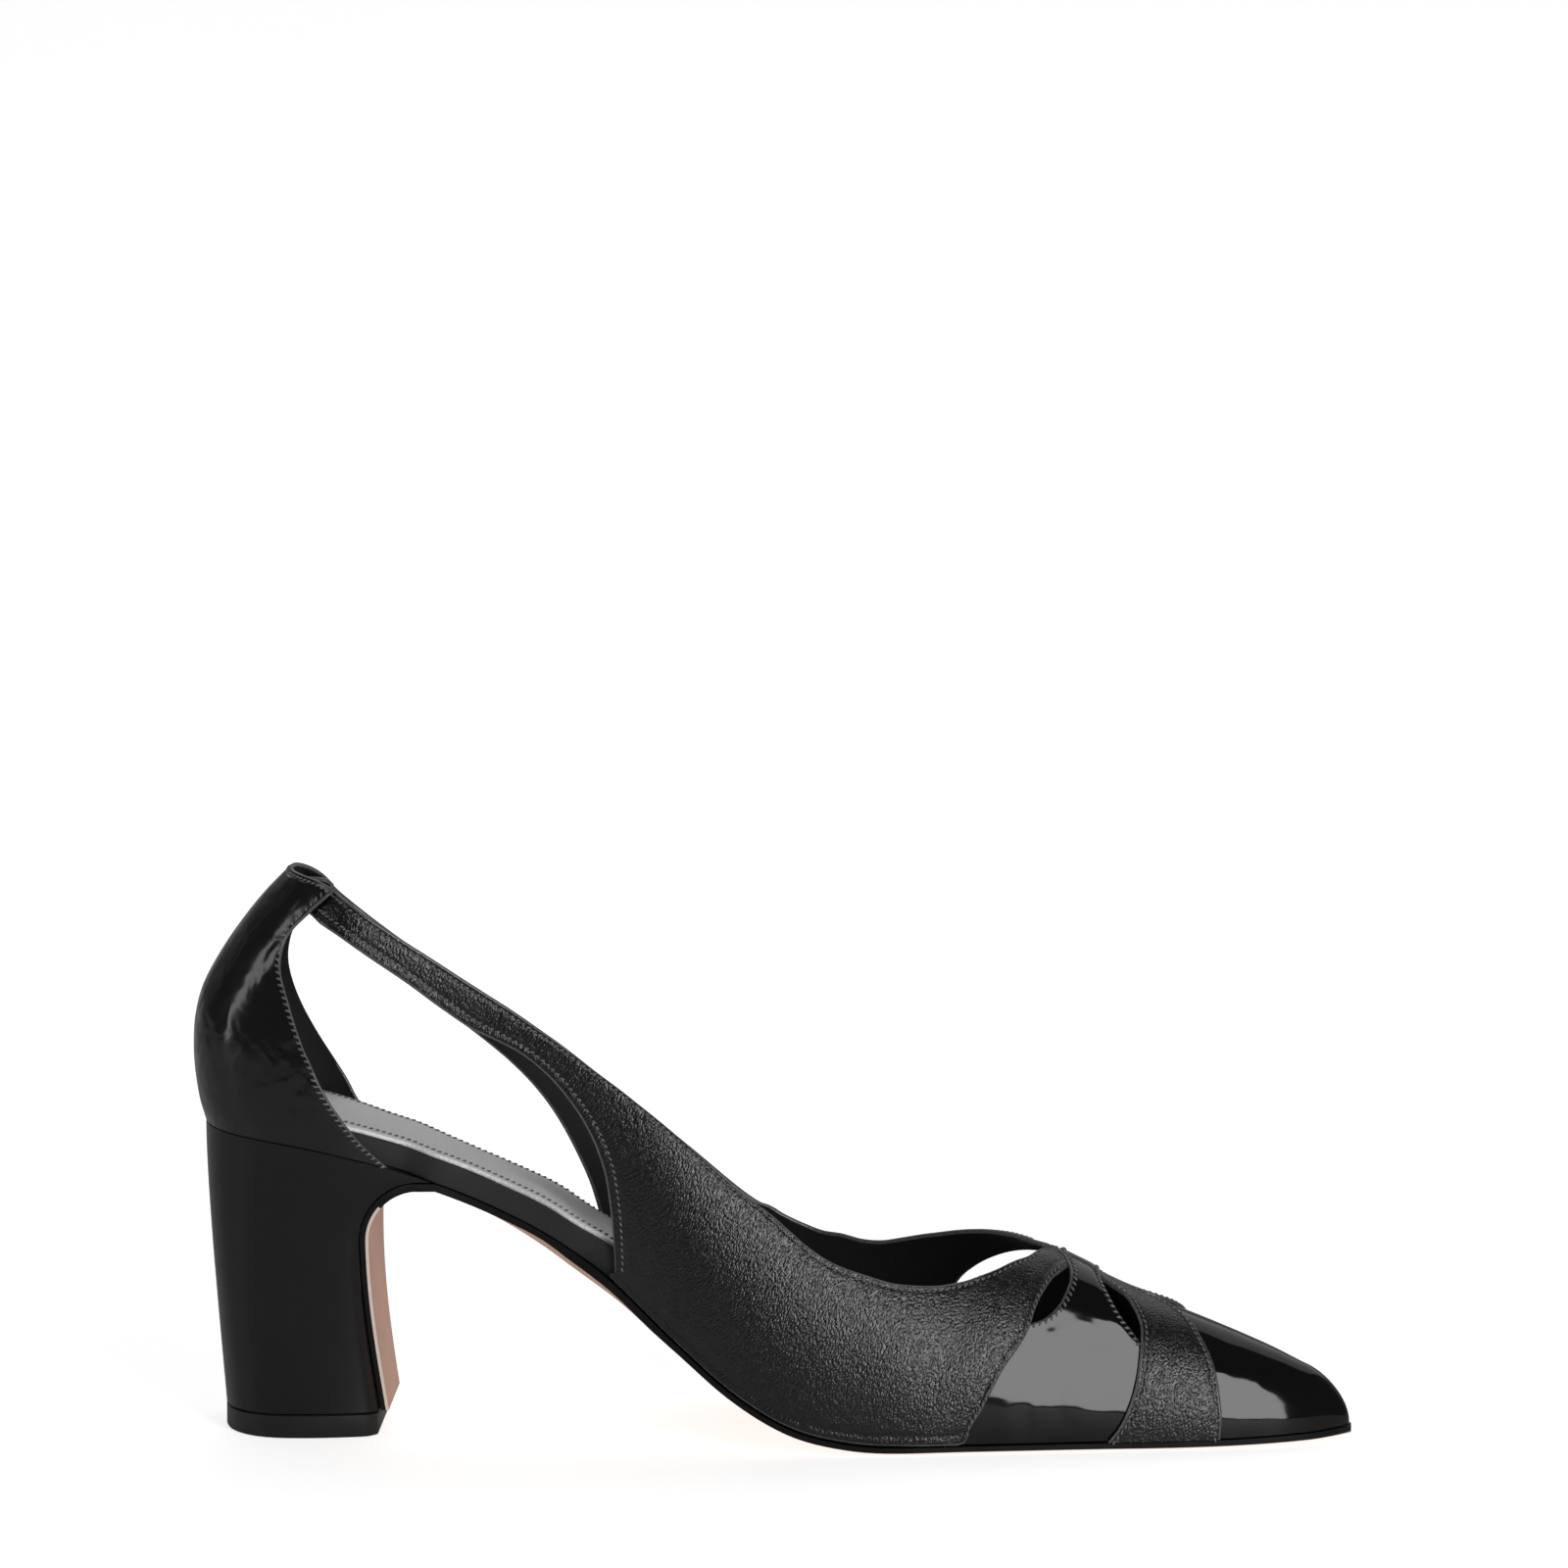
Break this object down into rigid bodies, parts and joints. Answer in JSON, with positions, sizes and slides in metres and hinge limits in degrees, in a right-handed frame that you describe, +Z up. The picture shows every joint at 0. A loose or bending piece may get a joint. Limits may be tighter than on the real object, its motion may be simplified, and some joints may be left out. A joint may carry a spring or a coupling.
{
  "type": "pump shoe",
  "caption": "Left pump with a pointed toe, open waists, crossed vamp straps under a patent keeper band, a patent counter and a covered block heel.",
  "frame": {"origin": "on the floor under the middle of the heel's top piece", "axes": "+X to the toe, +Z up, -Y to the inner (medial) side of the foot"},
  "size_m": [0.2453, 0.0694, 0.12],
  "materials": {
    "nappa_leather": "black, fine grain, soft satin sheen",
    "patent_leather": "black patent, mirror gloss",
    "heel_cover": "black patent wrapped on the heel block, high gloss",
    "metallic_lining": "pewter grey metallic lining leather, soft sheen",
    "sole_leather": "smooth pinkish tan, satin, black painted edge",
    "top_piece_rubber": "black, dull"
  },
  "bodies": {
    "root": {"upper": "nappa_leather", "heel_counter": "patent_leather", "keeper_band": "patent_leather", "toe_cap": "patent_leather", "platform_insole": "patent_leather", "sock_lining": "metallic_lining", "outsole": "sole_leather", "heel_block": "heel_cover", "top_piece": "top_piece_rubber"}
  },
  "joints": []
}
